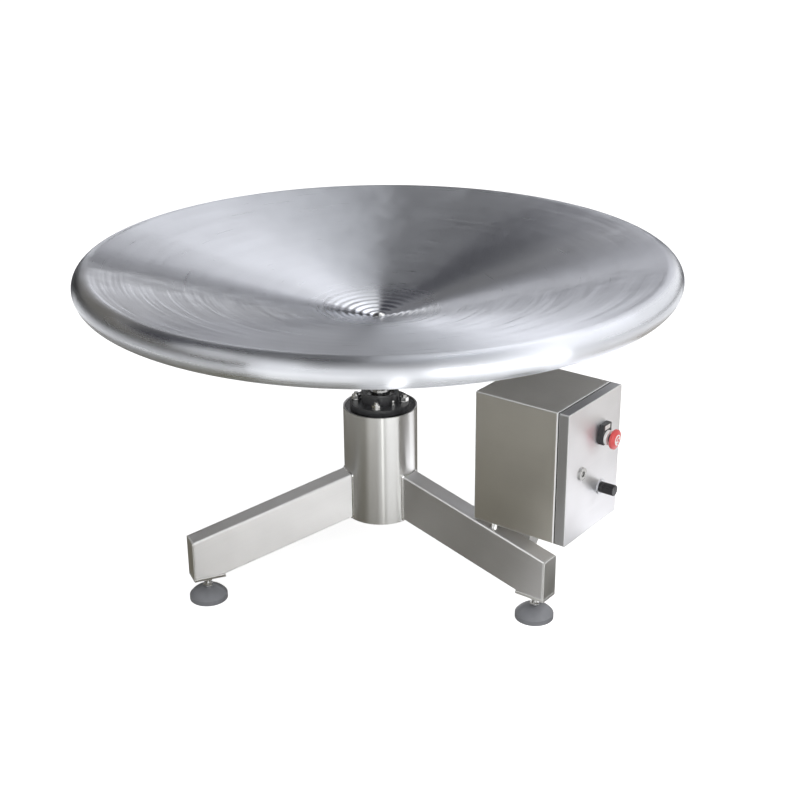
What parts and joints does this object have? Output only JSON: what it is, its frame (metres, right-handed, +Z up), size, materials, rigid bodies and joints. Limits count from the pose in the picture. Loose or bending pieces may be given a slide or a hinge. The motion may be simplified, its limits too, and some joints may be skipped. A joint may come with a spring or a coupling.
{
  "type": "rotary accumulation table",
  "caption": "Free-standing rotary accumulation table: shallow spun steel dish with a rolled rim, motor-driven on a column with sloping legs, levelling feet and a control box.",
  "frame": {"origin": "on the floor under the column's axis", "axes": "+Z up along the column, +X along the leg that carries the control box"},
  "size_m": [1.1998, 1.1998, 0.69],
  "materials": {
    "dish_steel": "spun and polished stainless steel",
    "frame_steel": "brushed stainless steel",
    "column_steel": "polished stainless tube",
    "box_steel": "brushed stainless sheet",
    "door_steel": "brushed stainless sheet",
    "dark_steel": "dark machined and oiled steel",
    "bright_steel": "bright turned steel",
    "cast_body": "painted cast iron",
    "alloy": "cast alloy",
    "pad_plastic": "grey moulded plastic",
    "black_plastic": "black moulded plastic",
    "red_plastic": "red moulded plastic",
    "pale_plastic": "pale moulded plastic",
    "tan_plastic": "beige moulded plastic",
    "grey_plastic": "dark grey moulded plastic",
    "seal_rubber": "foamed rubber",
    "spider_rubber": "red elastomer",
    "zinc_plate": "zinc plated sheet",
    "motor_paint": "grey-blue enamel"
  },
  "bodies": {
    "base": {"column_tube": "column_steel", "column_top_plate": "dark_steel", "motor_plate": "frame_steel", "column_bottom_cover": "frame_steel", "control_leg": "frame_steel", "rear_leg": "frame_steel", "left_leg": "frame_steel", "leg_end_caps": "frame_steel", "foot_plates": "frame_steel", "foot_lock_nuts": "bright_steel", "bearing_housing": "cast_body", "bearing_outer_ring": "bright_steel", "bearing_bolts": "bright_steel", "grease_nipple": "bright_steel", "gearbox": "alloy", "gear_motor": "motor_paint", "socket_screws": "dark_steel", "box_body": "box_steel", "box_hinge_knuckles": "frame_steel", "hinge_pins": "bright_steel", "mounting_panel": "zinc_plate", "din_rail": "zinc_plate", "power_relay": "grey_plastic", "terminal_block": "tan_plastic", "speed_controller": "black_plastic", "cable_glands": "grey_plastic", "box_bracket": "frame_steel", "box_bolts": "bright_steel", "box_standoff": "bright_steel"},
    "turntable": {"dish": "dish_steel", "dish_hub": "frame_steel", "centre_screw": "bright_steel", "drive_shaft": "bright_steel", "bearing_inner_ring": "bright_steel", "coupling_upper_hub": "alloy", "coupling_spider": "spider_rubber", "coupling_lower_hub": "alloy", "motor_output_shaft": "bright_steel"},
    "ball_set": {"bearing_balls": "bright_steel"},
    "door": {"box_door": "door_steel", "door_gasket": "seal_rubber", "door_hinge_knuckles": "frame_steel", "lock_barrel": "bright_steel", "legend_holder": "black_plastic", "legend_insert": "pale_plastic", "estop_collar": "pale_plastic", "estop_contact_block": "black_plastic", "knob_dial": "alloy", "potentiometer": "dark_steel"},
    "lock": {"lock_core": "bright_steel", "lock_cam": "zinc_plate"},
    "stop_plunger": {"estop_plunger": "grey_plastic"},
    "stop_head": {"estop_head": "red_plastic"},
    "knob": {"speed_knob": "black_plastic"},
    "foot_1": {"foot_stud_1": "bright_steel", "foot_pad_1": "pad_plastic"},
    "foot_2": {"foot_stud_2": "bright_steel", "foot_pad_2": "pad_plastic"},
    "foot_3": {"foot_stud_3": "bright_steel", "foot_pad_3": "pad_plastic"}
  },
  "joints": [
    {"name": "dish_spin", "type": "hinge", "parent": "base", "child": "turntable", "pos_m": [0, 0, 0.56], "axis": [0, 0, 1], "continuous": true},
    {"name": "ball_set_spin", "type": "hinge", "parent": "base", "child": "ball_set", "pos_m": [0, 0, 0.382], "axis": [0, 0, 1], "continuous": true},
    {"name": "door_swing", "type": "hinge", "parent": "base", "child": "door", "pos_m": [0.438, 0.187, 0.18709], "axis": [0, 0, 1], "range_deg": [0, 120]},
    {"name": "lock_turn", "type": "hinge", "parent": "door", "child": "lock", "pos_m": [0.46, 0.04, 0.32209], "axis": [-1, 0, 0], "range_deg": [0, 90]},
    {"name": "stop_press", "type": "slide", "parent": "door", "child": "stop_plunger", "axis": [-1, 0, 0], "range_m": [0, 0.005], "stiffness_N_per_m": 400},
    {"name": "stop_twist", "type": "hinge", "parent": "stop_plunger", "child": "stop_head", "pos_m": [0.46, 0.115, 0.37509], "axis": [-1, 0, 0], "range_deg": [0, 45], "stiffness_Nm_per_rad": 0.2},
    {"name": "knob_turn", "type": "hinge", "parent": "door", "child": "knob", "pos_m": [0.46, 0.117, 0.26509], "axis": [-1, 0, 0], "range_deg": [-150, 150]},
    {"name": "foot_1_level", "type": "slide", "parent": "base", "child": "foot_1", "axis": [0, 0, 1], "range_m": [-0.02, 0]},
    {"name": "foot_2_level", "type": "slide", "parent": "base", "child": "foot_2", "axis": [0, 0, 1], "range_m": [-0.02, 0]},
    {"name": "foot_3_level", "type": "slide", "parent": "base", "child": "foot_3", "axis": [0, 0, 1], "range_m": [-0.02, 0]}
  ],
  "couplings": [
    {"joint": "ball_set_spin", "follows": "dish_spin", "ratio": 0.4011}
  ]
}
